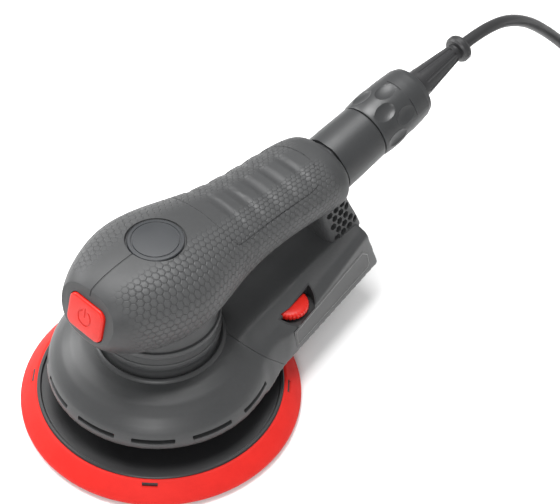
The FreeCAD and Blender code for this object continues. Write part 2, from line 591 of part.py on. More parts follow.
collar = on_inlet([(12.64, SEAT + 0.4), (16.1, SEAT + 0.4), (16.6, SEAT + 1.0), (17.3, 37), (17.5, 44), (17.2, 51),
                   (16.7, 56), (12.64, 56)])
dimple = Part.makeSphere(1.0)
scale = FreeCAD.Matrix()
scale.scale(2.6, 5.2, 8.5)
dimple = dimple.transformGeometry(scale)
for i in range(6):
    for turn, s in ((0.0, 41.0), (30.0, 51.0)):
        d = dimple.copy()
        d.translate(V(18.4, 0, 0))
        d.rotate(V(0, 0, 0), V(0, 0, 1), 60.0 * i + turn)
        d.Placement = FreeCAD.Placement(along(s), FreeCAD.Rotation(V(0, 0, 1), AX)).multiply(d.Placement)
        collar = collar.cut(d)
teeth_cut = []
for i in range(6):
    t = box(10, 20, -3.4, 3.4, 53.0, 56.0)
    t.rotate(V(0, 0, 0), V(0, 0, 1), 60.0 * i)
    t.Placement = FreeCAD.Placement(along(0), FreeCAD.Rotation(V(0, 0, 1), AX)).multiply(t.Placement)
    teeth_cut.append(t)
cap_end = on_inlet([(12.64, 56), (16.7, 56), (16.4, 61), (15.9, 66), (14.8, 69), (12.4, 70.4), (9.4, 70.8), (9.4, 66.3),
                    (12.64, 66.3)])
castle = [t.common(on_inlet([(12.64, 50), (16.9, 50), (16.7, 56.0), (12.64, 56.0)])) for t in teeth_cut]
collar = collar.cut(Part.makeCompound(teeth_cut))
put("lock_collar", max(collar.Solids, key=lambda q: q.Volume), MACHINE)
put("connector_end_cap", cap_end.multiFuse(castle), MACHINE)

CORD_OUT = 112.0                  # cord leaves here, along the inlet axis
guard = on_inlet([(0, 66), (9.1, 66), (9.1, 71), (8.6, 74), (5.0, 105.0), (5.0, 106.2), (7.2, 106.6), (8.0, 107.8),
                  (8.0, 110.6), (7.2, CORD_OUT), (0, CORD_OUT)])
flutes = []
for i in range(8):
    a = math.radians(45 * i)
    p = along(76).add(V(9.4 * math.cos(a), 0, 0)).add(V(0, -9.4 * math.sin(a) * AX.z, 9.4 * math.sin(a) * AX.y))
    q = along(103).add(V(6.2 * math.cos(a), 0, 0)).add(V(0, -6.2 * math.sin(a) * AX.z, 6.2 * math.sin(a) * AX.y))
    flutes.append(rod(1.5, p, q))
put("bend_protector", guard.cut(Part.makeCompound(flutes)), MACHINE)

# ---------------------------------------------------------------- mains cord
START = along(CORD_OUT).add(MACHINE)
COIL_C = V(98.0, 366.5, 14.0)
BUNDLE_R = 14.0
ROUTE = [START, V(START.x, START.y + 24.0, START.z + 2.2), V(-1.7, 293.0, 91.5), V(1.5, 321.0, 66.0), V(8.0, 344.0, 39.0),
         V(20.0, 364.0, 16.0), V(41.0, 384.0, 3.6), V(66.0, 405.0, 3.6)]


def swept(route, r):
    # straight runs joined by tangent arcs
    edges = []
    here = route[0]
    length = 0.0
    for i in range(1, len(route) - 1):
        a = route[i].sub(route[i - 1])
        b = route[i + 1].sub(route[i])
        turn = a.getAngle(b)
        cut = 0.45 * min(a.Length, b.Length)
        radius = cut / math.tan(turn / 2)
        ua = V(a.x / a.Length, a.y / a.Length, a.z / a.Length)
        ub = V(b.x / b.Length, b.y / b.Length, b.z / b.Length)
        p = route[i].sub(V(ua.x * cut, ua.y * cut, ua.z * cut))
        q = route[i].add(V(ub.x * cut, ub.y * cut, ub.z * cut))
        w = V(ub.x - ua.x, ub.y - ua.y, ub.z - ua.z)
        reach = radius / math.cos(turn / 2) - radius
        m = route[i].add(V(w.x / w.Length * reach, w.y / w.Length * reach, w.z / w.Length * reach))
        edges.append(Part.LineSegment(here, p).toShape())
        edges.append(Part.Arc(p, m, q).toShape())
        print("turn %d: %.1f degrees, radius %.1f, run %.1f" % (i, math.degrees(turn), radius, a.Length))
        here = q
    edges.append(Part.LineSegment(here, route[-1]).toShape())
    length = sum(e.Length for e in edges)
    path = Part.Wire(edges)
    first = route[1].sub(route[0])
    ring = Part.Wire([Part.Circle(route[0], first, r).toShape()])
    solid = path.makePipeShell([ring], True, False)
    return solid, length


lead, lead_length = swept(ROUTE, CORD_R)
print("lead length", round(lead_length, 1), "volume ratio", round(lead.Volume / (math.pi * CORD_R ** 2 * lead_length), 3))
coil_ring = Part.makeTorus(COIL_R, BUNDLE_R, COIL_C, V(0, 0, 1))
tie_turn = math.radians(-150.0)
tie_c = COIL_C.add(V(COIL_R * math.cos(tie_turn), COIL_R * math.sin(tie_turn), 0))
tie_dir = V(-math.sin(tie_turn), math.cos(tie_turn), 0)
tie_a = tie_c.sub(V(tie_dir.x * 6, tie_dir.y * 6, 0))
tie = Part.makeCylinder(BUNDLE_R + 1.4, 12, tie_a, tie_dir)
tie = tie.cut(Part.makeCylinder(BUNDLE_R - 0.5, 12, tie_a, tie_dir)).common(box(0, 200, 200, 500, 0.0, 60))
put("mains_cord", lead)
put("cord_coil", coil_ring)
put("cord_tie", tie)

PLUG_X = COIL_C.x + COIL_R
TAIL_END = 296.0
tail = rod(CORD_R, V(PLUG_X, COIL_C.y - 36.0, COIL_C.z), V(PLUG_X, TAIL_END, COIL_C.z))
put("cord_tail", tail)
turns = (CORD_LENGTH - lead_length) / (2 * math.pi * COIL_R)
print("coil turns", round(turns, 1), "tail", round(tail.Volume / (math.pi * CORD_R ** 2), 1))
PLUG_Y = 261.0
relief = revolve([(0, 0), (4.4, 0), (4.8, 2), (7.2, 35), (0, 35)], V(PLUG_X, TAIL_END, COIL_C.z), V(0, -1, 0))
grooves = [Part.makeTorus(4.6 + 2.4 * k / 5 + 1.1, 1.0, V(PLUG_X, TAIL_END - 5 - 5 * k, COIL_C.z), V(0, 1, 0)) for k in range(6)]
put("plug_strain_relief", relief.cut(Part.makeCompound(grooves)))
PIN_STEP = 19.0
plug = box(PLUG_X - 18, PLUG_X + 18, PLUG_Y - 34, PLUG_Y, 0.0, 28.0)
long_edges = [e for e in plug.Edges if abs(e.tangentAt(0).y) > 0.9]
plug = plug.makeFillet(10.0, long_edges)
plug = plug.makeFillet(3.0, [e for e in plug.Edges if e.CenterOfMass.y > PLUG_Y - 0.5])
prongs = []
for sx in (-PIN_STEP / 2, PIN_STEP / 2):
    prong = Part.makeCylinder(2.4, 29.0, V(PLUG_X + sx, PLUG_Y - 24.0, COIL_C.z), V(0, -1, 0))
    prongs.append(prong)
prongs = [p.makeFillet(1.0, [e for e in p.Edges if e.CenterOfMass.y < PLUG_Y - 52.5]) for p in prongs]
put("plug_body", plug.cut(Part.makeCompound(prongs)))
put("plug_pins", Part.makeCompound(prongs))
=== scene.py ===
import math

import bmesh
import bpy
from mathutils import Matrix, Vector


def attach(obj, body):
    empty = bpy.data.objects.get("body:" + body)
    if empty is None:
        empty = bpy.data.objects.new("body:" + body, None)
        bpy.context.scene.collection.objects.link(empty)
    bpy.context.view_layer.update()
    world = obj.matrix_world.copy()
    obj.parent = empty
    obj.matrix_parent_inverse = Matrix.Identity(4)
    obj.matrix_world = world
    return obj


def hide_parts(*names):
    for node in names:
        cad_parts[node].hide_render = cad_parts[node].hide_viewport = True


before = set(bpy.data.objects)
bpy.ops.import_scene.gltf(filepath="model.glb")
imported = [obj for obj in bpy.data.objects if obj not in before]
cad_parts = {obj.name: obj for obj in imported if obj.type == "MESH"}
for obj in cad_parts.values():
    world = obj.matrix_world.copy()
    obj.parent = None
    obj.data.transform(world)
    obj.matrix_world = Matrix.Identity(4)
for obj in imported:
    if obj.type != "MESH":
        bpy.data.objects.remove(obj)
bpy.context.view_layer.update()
scene = bpy.context.scene

# The machine is drawn in millimetres about its motor axis, as in the CAD;
# the pad's axis, the origin of the frame, lies one crank length from it.
MOTOR_X, MOTOR_Y, DATUM_Z = -1.705, 1.828, -2.6
MM = 0.001


def at(x, y, z):
    """A point of the machine's own drawing, in the frame, in metres."""
    return Vector(((x + MOTOR_X) * MM, (y + MOTOR_Y) * MM, (z + DATUM_Z) * MM))


# ------------------------------------------------------------------ camera
AZIMUTH, ELEVATION, ROLL = math.radians(43.0), math.radians(46.18), math.radians(1.68)
DISTANCE, LENS = 1.0, 116.76
AIM = at(-3.01, 93.19, 40.0)

level = math.cos(ELEVATION)
back = Vector((math.sin(AZIMUTH) * level, -math.cos(AZIMUTH) * level, math.sin(ELEVATION)))
right = Vector((math.cos(AZIMUTH), math.sin(AZIMUTH), 0.0))
up = back.cross(right)
cam_x = right * math.cos(ROLL) + up * math.sin(ROLL)
cam_y = up * math.cos(ROLL) - right * math.sin(ROLL)
camera_data = bpy.data.cameras.new("camera")
camera_data.lens = LENS
camera_data.sensor_width = 36.0
camera_data.clip_end = 30.0
camera = bpy.data.objects.new("camera", camera_data)
scene.collection.objects.link(camera)
turn = Matrix((cam_x, cam_y, back)).transposed().to_4x4()
camera.matrix_world = Matrix.Translation(AIM + back * DISTANCE) @ turn
scene.camera = camera


# ------------------------------------------------------------------ modelling helpers
def clear():
    if bpy.context.object and bpy.context.object.mode != "OBJECT":
        bpy.ops.object.mode_set(mode="OBJECT")
    bpy.ops.object.select_all(action="DESELECT")


def only(piece):
    clear()
    piece.hide_viewport = False
    bpy.context.view_layer.objects.active = piece
    piece.select_set(True)


def edit(piece):
    only(piece)
    bpy.ops.object.mode_set(mode="EDIT")


def done():
    bpy.ops.object.mode_set(mode="OBJECT")


def pick(piece, test, kind="VERT"):
    """Selects the vertices, edges or faces whose middle and normal pass the test; edit mode."""
    bpy.ops.mesh.select_mode(type=kind)
    bpy.ops.mesh.select_all(action="DESELECT")
    bm = bmesh.from_edit_mesh(piece.data)
    bm.normal_update()
    if kind == "VERT":
        for v in bm.verts:
            v.select = test(v.co, v.normal)
    elif kind == "EDGE":
        for e in bm.edges:
            e.select_set(test((e.verts[0].co + e.verts[1].co) / 2, e))
    else:
        for f in bm.faces:
            f.select_set(test(f.calc_center_median(), f.normal))
    bm.select_flush_mode()
    bmesh.update_edit_mesh(piece.data)


def named(name):
    piece = bpy.context.object
    piece.name = name
    piece.data.name = name
    return piece


def modifier(piece, kind, **settings):
    only(piece)
    m = piece.modifiers.new(kind.lower(), kind)
    for key, value in settings.items():
        setattr(m, key, value)
    bpy.ops.object.modifier_apply(modifier=m.name)
    return piece


def outward(piece):
    edit(piece)
    bpy.ops.mesh.select_all(action="SELECT")
    bpy.ops.mesh.remove_doubles(threshold=1e-6)
    bpy.ops.mesh.normals_make_consistent(inside=False)
    done()
    return piece


def combine(piece, tool, how="DIFFERENCE"):
    only(piece)
    m = piece.modifiers.new("cut", "BOOLEAN")
    m.operation = how
    m.solver = "EXACT"
    m.object = tool
    bpy.ops.object.modifier_apply(modifier=m.name)
    bpy.data.objects.remove(tool)
    return piece


def shade(piece, angle=35.0):
    only(piece)
    bpy.ops.object.shade_smooth_by_angle(angle=math.radians(angle))


def apply_place(piece):
    only(piece)
    bpy.ops.object.transform_apply(location=True, rotation=True, scale=True)
    return piece


def rings(name, sides, stations, shut=False):
    """A turned or lofted form: one ring of points, extruded and resized from station to station.

    A station is (centre, half width along X, half width along the second direction); rings lie level."""
    clear()
    c, w, h = stations[0]
    bpy.ops.mesh.primitive_circle_add(vertices=sides, radius=1.0, fill_type="NOTHING", location=(0, 0, 0))
    piece = named(name)
    bpy.ops.object.mode_set(mode="EDIT")
    bpy.ops.mesh.select_all(action="SELECT")
    bpy.ops.transform.resize(value=(w, h, 1.0), center_override=(0, 0, 0))
    bpy.ops.transform.translate(value=c)
    here = (c, w, h)
    for c, w, h in stations[1:]:
        bpy.ops.mesh.extrude_edges_move(TRANSFORM_OT_translate={"value": c - here[0]})
        bpy.ops.transform.resize(value=(w / here[1], h / here[2], 1.0), center_override=c)
        here = (c, w, h)
    if shut:
        bpy.ops.mesh.select_all(action="SELECT")
        bpy.ops.mesh.remove_doubles(threshold=1e-8)
    else:
        bpy.ops.mesh.edge_face_add()
        first = stations[0][0]
        reach = max(stations[0][1], stations[0][2]) * 1.01 + 1e-6
        pick(piece, lambda p, n: abs(p.z - first.z) < 1e-7 and (p - first).length < reach)
        bpy.ops.mesh.edge_face_add()
    bpy.ops.mesh.select_all(action="SELECT")
    bpy.ops.mesh.normals_make_consistent(inside=False)
    done()
    return piece


def turned(name, profile, sides=96, centre=None, axis=None):
    """A closed lathe form from (radius, height) pairs in millimetres, stood on a point along an axis."""
    solid = profile[0][0] == 0 and profile[-1][0] == 0
    loop = profile[1:-1] if solid else list(profile) + [profile[0]]
    stations = [(Vector((0, 0, z * MM)), r * MM, r * MM) for r, z in loop]
    piece = rings(name, sides, stations, shut=not solid)
    stand(piece, centre or at(0, 0, 0), axis or Vector((0, 0, 1)))
    return piece


def stand(piece, centre, axis):
    piece.matrix_world = Matrix.Translation(centre) @ axis.to_track_quat("Z", "Y").to_matrix().to_4x4()
    return apply_place(piece)


def block(name, x0, x1, y0, y1, z0, z1):
    """A box between limits in the machine's drawing."""
    clear()
    a, b = at(x0, y0, z0), at(x1, y1, z1)
    bpy.ops.mesh.primitive_cube_add(size=1.0, location=(a + b) / 2, scale=b - a)
    return apply_place(named(name))


# ------------------------------------------------------------------ mains cord
CORD_DIAMETER = 0.007
AXIS_TILT = math.radians(10.0)
INLET_AXIS = Vector((0, math.cos(AXIS_TILT), math.sin(AXIS_TILT)))
INLET = at(0, 124.7, 86.5)
CORD_EXIT = INLET + INLET_AXIS * 0.112
COIL_MIDDLE = Vector((0.098, 0.3665, 0.014))
COIL_RADIUS = 0.050
ROUTE = [
    CORD_EXIT,
    CORD_EXIT + Vector((0, 0.024, 0.0022)),
    Vector((-0.0017, 0.2930, 0.0915)),
    Vector((0.0015, 0.3210, 0.0660)),
    Vector((0.0080, 0.3440, 0.0390)),
    Vector((0.0200, 0.3640, 0.0160)),
    Vector((0.0410, 0.3840, 0.0036)),
    Vector((0.0660, 0.4050, 0.0036)),
]
TAIL_START = Vector((0.148, 0.3665, 0.014))
TAIL_END = Vector((0.148, 0.296, 0.014))


def coil_points():
    """Twelve turns on a tied round coil: layers of turns side by side, a diameter apart."""
    places = []
    for row, count in ((0, 3), (1, 4), (2, 3), (3, 2)):
        for k in range(count):
            places.append((COIL_RADIUS + (k - (count - 1) / 2) * CORD_DIAMETER, 0.0036 + row * 0.0062))
    start = math.atan2(ROUTE[-1].y - COIL_MIDDLE.y, ROUTE[-1].x - COIL_MIDDLE.x)
    points = []
    per_turn = 14
    total = len(places) * per_turn
    lap = 2 * math.pi
    for i in range(1, total + 1):
        turn_now = i / per_turn
        k = min(int(turn_now), len(places) - 1)
        nxt = min(k + 1, len(places) - 1)
        f = turn_now - int(turn_now)
        f = max(0.0, (f - 0.7) / 0.3)
        f = f * f * (3 - 2 * f)
        r = places[k][0] * (1 - f) + places[nxt][0] * f
        z = places[k][1] * (1 - f) + places[nxt][1] * f
        a = start - lap * turn_now
        points.append(Vector((COIL_MIDDLE.x + r * math.cos(a), COIL_MIDDLE.y + r * math.sin(a), z)))
    return points


def nurbs(name, points, radius):
    data = bpy.data.curves.new(name, "CURVE")
    data.dimensions = "3D"
    spline = data.splines.new("NURBS")
    spline.points.add(len(points) - 1)
    for p, q in zip(spline.points, points):
        p.co = (q.x, q.y, q.z, 1.0)
    spline.order_u = 3
    spline.use_endpoint_u = True
    data.bevel_depth = radius
    data.bevel_resolution = 4
    data.resolution_u = 8
    data.use_fill_caps = True
    piece = bpy.data.objects.new(name, data)
    scene.collection.objects.link(piece)
    return piece


# ------------------------------------------------------------------ materials
def material(name, colour, roughness=0.5, metallic=0.0, specular=0.5, coat=0.0, coat_roughness=0.2):
    mat = bpy.data.materials.new(name)
    mat.use_nodes = True
    shader = mat.node_tree.nodes["Principled BSDF"]
    shader.inputs["Base Color"].default_value = (*colour, 1.0)
    shader.inputs["Roughness"].default_value = roughness
    shader.inputs["Metallic"].default_value = metallic
    shader.inputs["Specular IOR Level"].default_value = specular
    shader.inputs["Coat Weight"].default_value = coat
    shader.inputs["Coat Roughness"].default_value = coat_roughness
    mat.diffuse_color = (*colour, 1.0)
    return mat


def join(mat, a, b):
    mat.node_tree.links.new(a, b)


def math_node(mat, operation, a, b=None, c=None, clamp=False):
    n = mat.node_tree.nodes.new("ShaderNodeMath")
    n.operation = operation
    n.use_clamp = clamp
    for socket, value in zip(n.inputs, (a, b, c)):
        if value is None:
            continue
        if isinstance(value, (int, float)):
            socket.default_value = value
        else:
            join(mat, value, socket)
    return n.outputs[0]


def vector_node(mat, operation, a, b=None):
    n = mat.node_tree.nodes.new("ShaderNodeVectorMath")
    n.operation = operation
    for socket, value in zip(n.inputs, (a, b)):
        if value is None:
            continue
        if isinstance(value, tuple):
            socket.default_value = value
        else:
            join(mat, value, socket)
    return n


def object_coordinates(mat):
    return mat.node_tree.nodes.new("ShaderNodeTexCoord").outputs["Object"]


def noise(mat, coordinates, per_mm, detail=2.0, roughness=0.5):
    n = mat.node_tree.nodes.new("ShaderNodeTexNoise")
    n.inputs["Scale"].default_value = per_mm / MM
    n.inputs["Detail"].default_value = detail
    n.inputs["Roughness"].default_value = roughness
    join(mat, coordinates, n.inputs["Vector"])
    return n.outputs["Fac"]


def ramp(mat, value, low, high, to_low=0.0, to_high=1.0):
    n = mat.node_tree.nodes.new("ShaderNodeMapRange")
    n.interpolation_type = "SMOOTHSTEP"
    join(mat, value, n.inputs["Value"])
    n.inputs["From Min"].default_value = low
    n.inputs["From Max"].default_value = high
    n.inputs["To Min"].default_value = to_low
    n.inputs["To Max"].default_value = to_high
    return n.outputs["Result"]


def relief(mat, height, depth_mm):
    """Bump of a stated depth, height being 0 to 1; chains onto a bump already there."""
    shader = mat.node_tree.nodes["Principled BSDF"]
    n = mat.node_tree.nodes.new("ShaderNodeBump")
    n.inputs["Strength"].default_value = 1.0
    n.inputs["Distance"].default_value = depth_mm * MM
    join(mat, height, n.inputs["Height"])
    earlier = shader.inputs["Normal"].links
    if earlier:
        join(mat, earlier[0].from_socket, n.inputs["Normal"])
    join(mat, n.outputs["Normal"], shader.inputs["Normal"])


def tint(mat, factor, dark, light):
    """Base colour between two shades by a factor."""
    n = mat.node_tree.nodes.new("ShaderNodeMix")
    n.data_type = "RGBA"
    join(mat, factor, n.inputs["Factor"])
    n.inputs[6].default_value = (*dark, 1.0)
    n.inputs[7].default_value = (*light, 1.0)
    join(mat, n.outputs[2], mat.node_tree.nodes["Principled BSDF"].inputs["Base Color"])


def vary_roughness(mat, factor, low, high):
    shader = mat.node_tree.nodes["Principled BSDF"]
    join(mat, ramp(mat, factor, 0.25, 0.75, low, high), shader.inputs["Roughness"])


def moulded(name, colour, roughness=0.45, grain_mm=0.35, depth=0.012, coat=0.0, specular=0.5):
    """Spark-eroded moulded plastic: fine pebbled grain, a slow drift of gloss, a little dust."""
    mat = material(name, colour, roughness, specular=specular, coat=coat)
    here = object_coordinates(mat)
    relief(mat, noise(mat, here, 1.0 / grain_mm, 3.0, 0.6), depth)
    drift = noise(mat, here, 0.035, 2.0)
    vary_roughness(mat, drift, roughness - 0.05, roughness + 0.06)
    darker, lighter = tuple(c * 0.88 for c in colour), tuple(c * 1.12 for c in colour)
    tint(mat, noise(mat, here, 0.6, 4.0, 0.65), darker, lighter)
    return mat


def metal(name, colour, roughness=0.3, brushed=True):
    mat = material(name, colour, roughness, metallic=1.0)
    here = object_coordinates(mat)
    stretch = vector_node(mat, "MULTIPLY", here, (1.0, 1.0, 12.0 if brushed else 1.0)).outputs[0]
    fine = noise(mat, stretch, 1.4, 3.0)
    vary_roughness(mat, fine, roughness - 0.08, roughness + 0.12)
    relief(mat, fine, 0.004)
    return mat


GREY = (0.034, 0.035, 0.036)
GRIP_GREY = (0.034, 0.035, 0.036)


def hexagons(mat, u, v, pitch_mm):
    """Distance from the middle of a hexagon cell, 0 at the middle and about 0.5 at its rim."""
    scale = 1.0 / (pitch_mm * MM)
    both = mat.node_tree.nodes.new("ShaderNodeCombineXYZ")
    join(mat, math_node(mat, "MULTIPLY", u, scale), both.inputs[0])
    join(mat, math_node(mat, "MULTIPLY", v, scale), both.inputs[1])
    cell = (1.0, math.sqrt(3.0), 1.0)
    half = (0.5, math.sqrt(3.0) / 2.0, 0.5)
    distances = []
    for shift in ((100.0, 100.0 * math.sqrt(3.0), 0.0), (100.5, 100.5 * math.sqrt(3.0), 0.0)):
        moved = vector_node(mat, "ADD", both.outputs[0], shift).outputs[0]
        wrapped = vector_node(mat, "MODULO", moved, cell).outputs[0]
        local = vector_node(mat, "SUBTRACT", wrapped, half).outputs[0]
        folded = vector_node(mat, "ABSOLUTE", local).outputs[0]
        parts = mat.node_tree.nodes.new("ShaderNodeSeparateXYZ")
        join(mat, folded, parts.inputs[0])
        slanted = math_node(mat, "ADD", math_node(mat, "MULTIPLY", parts.outputs[0], 0.5),
                            math_node(mat, "MULTIPLY", parts.outputs[1], math.sqrt(0.75)))
        distances.append(math_node(mat, "MAXIMUM", slanted, parts.outputs[0]))
    return math_node(mat, "MINIMUM", distances[0], distances[1])


def grip_rubber():
    """Soft overmould: domed hexagons along the flanks that fade out over the top, fine grain all over."""
    mat = material("grip_rubber", GRIP_GREY, 0.52, specular=0.45)
    here = object_coordinates(mat)
    parts = mat.node_tree.nodes.new("ShaderNodeSeparateXYZ")
    join(mat, vector_node(mat, "SUBTRACT", here, tuple(at(0, 0, 93.0))).outputs[0], parts.inputs[0])
    x, y, z = parts.outputs
    side = math_node(mat, "ABSOLUTE", x)
    around = math_node(mat, "ARCTAN2", z, side)
    v = math_node(mat, "MULTIPLY", around, 29.0 * MM)
    cell = hexagons(mat, y, v, 3.6)
    dome = ramp(mat, cell, 0.49, 0.37)
    crown = ramp(mat, cell, 0.42, 0.0)
    height = math_node(mat, "ADD", math_node(mat, "MULTIPLY", dome, 0.8),
                       math_node(mat, "MULTIPLY", crown, 0.2))
    top_fade = ramp(mat, around, 1.30, 0.85)
    low_fade = ramp(mat, around, -0.75, -0.25, 0.25, 1.0)
    rear_fade = ramp(mat, y, 0.113, 0.104)
    front_fade = ramp(mat, y, -0.043, -0.030)
    mask = math_node(mat, "MULTIPLY", math_node(mat, "MULTIPLY", top_fade, low_fade),
                     math_node(mat, "MULTIPLY", rear_fade, front_fade))
    relief(mat, math_node(mat, "MULTIPLY", height, mask), 0.34)
    relief(mat, noise(mat, here, 3.0, 3.0, 0.6), 0.018)
    # painted highlight and shade: the hexagon crowns are tinted lighter and the grooves between them darker,
    # mixed with a random tone variation
    painted_crown_light = math_node(mat, "MULTIPLY", height, math_node(mat, "MULTIPLY", mask, 0.75))
    tint(mat, math_node(mat, "ADD", painted_crown_light, math_node(mat, "MULTIPLY", noise(mat, here, 0.5, 4.0, 0.6), 0.3)),
         (0.026, 0.027, 0.028), (0.056, 0.057, 0.058))
    vary_roughness(mat, noise(mat, here, 0.04, 2.0), 0.45, 0.58)
    return mat


def foam_red():
    mat = material("foam_red", (0.56, 0.014, 0.009), 0.62, specular=0.2)
    here = object_coordinates(mat)
    cells = mat.node_tree.nodes.new("ShaderNodeTexVoronoi")
    cells.inputs["Scale"].default_value = 1.6 / MM
    join(mat, here, cells.inputs["Vector"])
    relief(mat, cells.outputs["Distance"], 0.05)
    relief(mat, noise(mat, here, 0.25, 3.0), 0.10)
    tint(mat, noise(mat, here, 0.12, 4.0, 0.6), (0.50, 0.011, 0.008), (0.62, 0.018, 0.012))
    return mat


def hook_pile():
    mat = material("hook_pile", (0.22, 0.22, 0.225), 0.9, specular=0.2)
    here = object_coordinates(mat)
    cells = mat.node_tree.nodes.new("ShaderNodeTexVoronoi")
    cells.inputs["Scale"].default_value = 1.1 / MM
    join(mat, here, cells.inputs["Vector"])
    relief(mat, cells.outputs["Distance"], 0.35)
    tint(mat, cells.outputs["Distance"], (0.30, 0.30, 0.31), (0.10, 0.10, 0.105))
    return mat


shell_grey = moulded("shell_grey", GREY, 0.42, 0.45, 0.016)
connector_grey = moulded("connector_grey", (0.024, 0.025, 0.026), 0.40, 0.45, 0.014)
plate_black = moulded("plate_black", (0.012, 0.012, 0.013), 0.40, 0.5, 0.010)
recess_black = moulded("recess_black", (0.018, 0.018, 0.019), 0.55, 0.4, 0.01)
label_dark = moulded("label_dark", (0.014, 0.0145, 0.015), 0.36, 0.6, 0.006)
line_grey = moulded("line_grey", (0.22, 0.22, 0.22), 0.45, 0.5, 0.004)
signal_red = moulded("signal_red", (0.56, 0.014, 0.008), 0.36, 0.5, 0.006, specular=0.3)
badge_grey = moulded("badge_grey", (0.018, 0.020, 0.023), 0.38, 0.5, 0.008)
cord_black = moulded("cord_black", (0.016, 0.016, 0.017), 0.42, 0.5, 0.012)
seal_black = moulded("seal_black", (0.012, 0.012, 0.012), 0.7, 0.5, 0.02)
board_green = moulded("board_green", (0.02, 0.12, 0.05), 0.35)
insulator_cream = moulded("insulator_cream", (0.55, 0.52, 0.44), 0.5)
part_black = moulded("part_black", (0.03, 0.03, 0.032), 0.3)
steel = metal("steel", (0.60, 0.60, 0.61), 0.28)
alloy = metal("alloy", (0.68, 0.68, 0.70), 0.42, brushed=False)
copper = metal("copper", (0.70, 0.32, 0.14), 0.35)
plated = metal("plated", (0.72, 0.66, 0.50), 0.22)
magnet_grey = metal("magnet_grey", (0.30, 0.30, 0.32), 0.4, brushed=False)
grip = grip_rubber()
foam = foam_red()
pile = hook_pile()

NODE_FINISH = {
    shell_grey: ["motor_shroud", "shroud_edge_ring", "dust_duct", "motor_frame"],
    connector_grey: ["inlet_socket", "lock_collar", "connector_end_cap"],
    recess_black: ["dial_bezel"],
    label_dark: ["name_plate"],
    badge_grey: ["badge_cap"],
    signal_red: ["power_button", "speed_dial"],
    foam: ["pad_foam"],
    pile: ["hook_face"],
    plate_black: ["pad_plate"],
    seal_black: ["brake_seal"],
    steel: ["housing_screws", "motor_screws", "lower_bearing", "upper_bearing", "crank_bearings",
            "motor_shaft", "shaft_circlip", "pad_spindle", "pad_stud", "stator_core", "rotor_core",
            "counterweight"],
    magnet_grey: ["rotor_magnets"],
    copper: ["stator_windings"],
    insulator_cream: ["stator_insulators"],
    alloy: ["eccentric_fan", "heat_sink", "motor_end_plate"],
    board_green: ["control_board"],
    part_black: ["capacitor", "switch_module", "dial_potentiometer", "plug_insert"],
    plated: ["inlet_contacts", "plug_pins"],
    cord_black: ["bend_protector", "mains_cord", "cord_coil", "cord_tie", "cord_tail",
                 "plug_strain_relief", "plug_body"],
    grip: ["upper_housing_left", "upper_housing_right"],
}
for finish, names in NODE_FINISH.items():
    for name in names:
        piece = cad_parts[name]
        piece.data.materials.clear()
        piece.data.materials.append(finish)


def coat_with(piece, finish):
    piece.data.materials.clear()
    piece.data.materials.append(finish)
    return piece


def settle(piece, body, finish, slot_name, *stands_for):
    coat_with(piece, finish)
    if stands_for:
        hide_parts(*stands_for)
    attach(piece, body)
    return piece


# ------------------------------------------------------------------ cord
lead = nurbs("mains_lead", ROUTE + coil_points(), CORD_DIAMETER / 2)
tail_route = [TAIL_START, (TAIL_START + TAIL_END) / 2, TAIL_END]
settle(lead, "housing", cord_black, "cord", "mains_cord", "cord_coil")
tail = nurbs("plug_lead", tail_route, CORD_DIAMETER / 2)
settle(tail, "housing", cord_black, "cord", "cord_tail")

# ------------------------------------------------------------------ palm grip: head, handle and rear strut
# distance along the handle, half width, top, bottom
GRIP_STATIONS = [
    (-51.0, 14.0, 107.5, 85.5), (-46.5, 19.5, 113.0, 80.5), (-39.0, 25.0, 117.4, 74.5),
    (-29.0, 30.5, 119.8, 71.0), (-14.0, 36.2, 121.0, 70.0), (0.0, 37.4, 120.6, 70.0),
    (15.0, 34.8, 119.2, 71.2), (30.0, 30.2, 116.6, 73.2), (50.0, 26.0, 111.8, 76.6),
    (75.0, 25.0, 108.9, 77.6), (98.0, 25.0, 108.2, 75.0), (113.0, 24.0, 107.2, 71.5),
    (119.5, 22.2, 105.0, 70.5), (123.0, 18.6, 101.5, 72.0),
]
# rear strut: height, front, rear, half width
STRUT_STATIONS = [
    (95.0, 97.0, 119.0, 19.0), (82.0, 99.5, 121.0, 19.3), (70.0, 102.0, 125.5, 21.3),
    (61.0, 104.2, 129.2, 22.9), (54.0, 105.5, 131.4, 24.2),
]
STRUT_CORNER = 5.0
SQUARENESS = 2.5


def squared_ring():
    """Pulls the corners of a unit ring out towards a square, so that lofts have full shoulders."""
    for k in range(1, 8):
        angle = math.radians(11.25 * k)
        reach = (math.cos(angle) ** SQUARENESS + math.sin(angle) ** SQUARENESS) ** (-1.0 / SQUARENESS)
        pick(bpy.context.object, lambda p, n: abs(math.atan2(abs(p.y), abs(p.x)) - angle) < 0.02)
        bpy.ops.transform.resize(value=(reach, reach, 1.0), center_override=(0, 0, 0))


def loft_along_handle(name, stations):
    """Rings of 32 points, square to the handle, extruded between stations, rounded by subdivision."""
    clear()
    bpy.ops.mesh.primitive_circle_add(vertices=32, radius=1.0, fill_type="NGON", location=(0, 0, 0))
    piece = named(name)
    bpy.ops.object.mode_set(mode="EDIT")
    squared_ring()
    bpy.ops.mesh.select_all(action="SELECT")
    size = [1.0, 1.0]
    place = Vector((0, 0, 0))
    for i, (y, half, top, low) in enumerate(stations):
        width, height = half * MM, (top - low) / 2 * MM
        spot = Vector((0, (top + low) / 2 * MM, -y * MM))
        if i == 0:
            bpy.ops.transform.translate(value=spot - place)
        else:
            bpy.ops.mesh.extrude_region_move(TRANSFORM_OT_translate={"value": spot - place})
        bpy.ops.transform.resize(value=(width / size[0], height / size[1], 1.0), center_override=spot)
        size, place = [width, height], spot
    done()
    piece.rotation_euler = (math.radians(90.0), 0, 0)
    piece.location = at(0, 0, 0)
    apply_place(piece)
    outward(piece)
    return modifier(piece, "SUBSURF", levels=2, render_levels=2)


